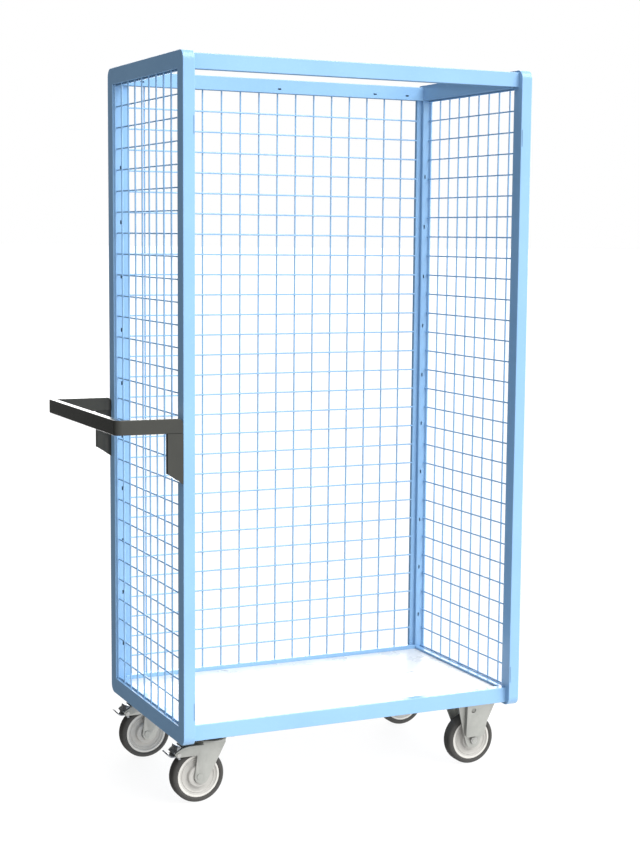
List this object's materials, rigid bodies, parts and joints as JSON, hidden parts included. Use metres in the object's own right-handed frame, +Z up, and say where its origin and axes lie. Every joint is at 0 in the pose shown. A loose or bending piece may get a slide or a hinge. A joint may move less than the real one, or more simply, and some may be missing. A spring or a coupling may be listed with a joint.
{
  "type": "mesh-sided trolley",
  "caption": "Tall mesh-sided trolley: tube end frames, wire sides and back, open front and top, white deck, push handle, fixed castors and braked swivel castors.",
  "frame": {"origin": "on the floor, under the middle of the whole trolley's outline, handle included", "axes": "+X from the push handle to the far end, +Y from the open front to the mesh back, +Z up"},
  "size_m": [1.0246, 0.532, 1.687],
  "materials": {
    "blue_paint": "light blue powder coat, satin",
    "white_board": "white melamine faced board, glossy",
    "black_paint": "black powder coat, satin",
    "zinc_steel": "zinc plated pressed steel",
    "fastener_steel": "zinc plated fasteners",
    "bearing_steel": "polished bearing balls",
    "brake_steel": "dark plated pressed steel",
    "grey_plastic": "light grey moulded plastic",
    "grey_rubber": "dark grey non-marking rubber"
  },
  "bodies": {
    "frame": {"left_end_frame": "blue_paint", "right_end_frame": "blue_paint", "left_mesh": "blue_paint", "right_mesh": "blue_paint", "back_mesh": "blue_paint", "back_left_stile": "blue_paint", "back_right_stile": "blue_paint", "front_top_rail": "blue_paint", "rear_top_rail": "blue_paint", "front_base_rail": "blue_paint", "rear_base_rail": "blue_paint", "left_castor_beam": "blue_paint", "middle_beam": "blue_paint", "right_castor_beam": "blue_paint", "deck_board": "white_board", "deck_screws": "fastener_steel", "castor_bolts": "fastener_steel", "castor_nuts": "fastener_steel", "handle": "black_paint", "handle_screws": "fastener_steel", "front_left_castor_plate": "zinc_steel", "front_left_king_bolt": "fastener_steel", "front_left_king_nut": "fastener_steel", "front_right_castor_bracket": "zinc_steel", "front_right_axle": "zinc_steel", "front_right_axle_nut": "fastener_steel", "front_right_axle_sleeve": "fastener_steel", "back_left_castor_plate": "zinc_steel", "back_left_king_bolt": "fastener_steel", "back_left_king_nut": "fastener_steel", "back_right_castor_bracket": "zinc_steel", "back_right_axle": "zinc_steel", "back_right_axle_nut": "fastener_steel", "back_right_axle_sleeve": "fastener_steel"},
    "front_left_swivel": {"front_left_fork": "zinc_steel", "front_left_bearing_balls": "bearing_steel", "front_left_axle": "zinc_steel", "front_left_axle_nut": "fastener_steel", "front_left_axle_sleeve": "fastener_steel", "front_left_brake_pin": "fastener_steel"},
    "front_left_wheel": {"front_left_wheel_core": "grey_plastic", "front_left_tyre": "grey_rubber"},
    "front_left_brake": {"front_left_brake_pedal": "brake_steel"},
    "front_right_wheel": {"front_right_wheel_core": "grey_plastic", "front_right_tyre": "grey_rubber"},
    "back_left_swivel": {"back_left_fork": "zinc_steel", "back_left_bearing_balls": "bearing_steel", "back_left_axle": "zinc_steel", "back_left_axle_nut": "fastener_steel", "back_left_axle_sleeve": "fastener_steel", "back_left_brake_pin": "fastener_steel"},
    "back_left_wheel": {"back_left_wheel_core": "grey_plastic", "back_left_tyre": "grey_rubber"},
    "back_left_brake": {"back_left_brake_pedal": "brake_steel"},
    "back_right_wheel": {"back_right_wheel_core": "grey_plastic", "back_right_tyre": "grey_rubber"}
  },
  "joints": [
    {"name": "front_left_swivel_turn", "type": "hinge", "parent": "frame", "child": "front_left_swivel", "pos_m": [-0.2625, -0.186, 0.161], "axis": [0, 0, 1], "continuous": true},
    {"name": "front_left_wheel_spin", "type": "hinge", "parent": "front_left_swivel", "child": "front_left_wheel", "pos_m": [-0.2985, -0.186, 0.0625], "axis": [0, 1, 0], "continuous": true},
    {"name": "front_left_brake_press", "type": "hinge", "parent": "front_left_swivel", "child": "front_left_brake", "pos_m": [-0.3485, -0.186, 0.119], "axis": [0, -1, 0], "range_deg": [0, 25]},
    {"name": "front_right_wheel_spin", "type": "hinge", "parent": "frame", "child": "front_right_wheel", "pos_m": [0.4175, -0.186, 0.0625], "axis": [0, 1, 0], "continuous": true},
    {"name": "back_left_swivel_turn", "type": "hinge", "parent": "frame", "child": "back_left_swivel", "pos_m": [-0.2625, 0.186, 0.161], "axis": [0, 0, 1], "continuous": true},
    {"name": "back_left_wheel_spin", "type": "hinge", "parent": "back_left_swivel", "child": "back_left_wheel", "pos_m": [-0.2985, 0.186, 0.0625], "axis": [0, 1, 0], "continuous": true},
    {"name": "back_left_brake_press", "type": "hinge", "parent": "back_left_swivel", "child": "back_left_brake", "pos_m": [-0.3485, 0.186, 0.119], "axis": [0, -1, 0], "range_deg": [0, 25]},
    {"name": "back_right_wheel_spin", "type": "hinge", "parent": "frame", "child": "back_right_wheel", "pos_m": [0.4175, 0.186, 0.0625], "axis": [0, 1, 0], "continuous": true}
  ]
}
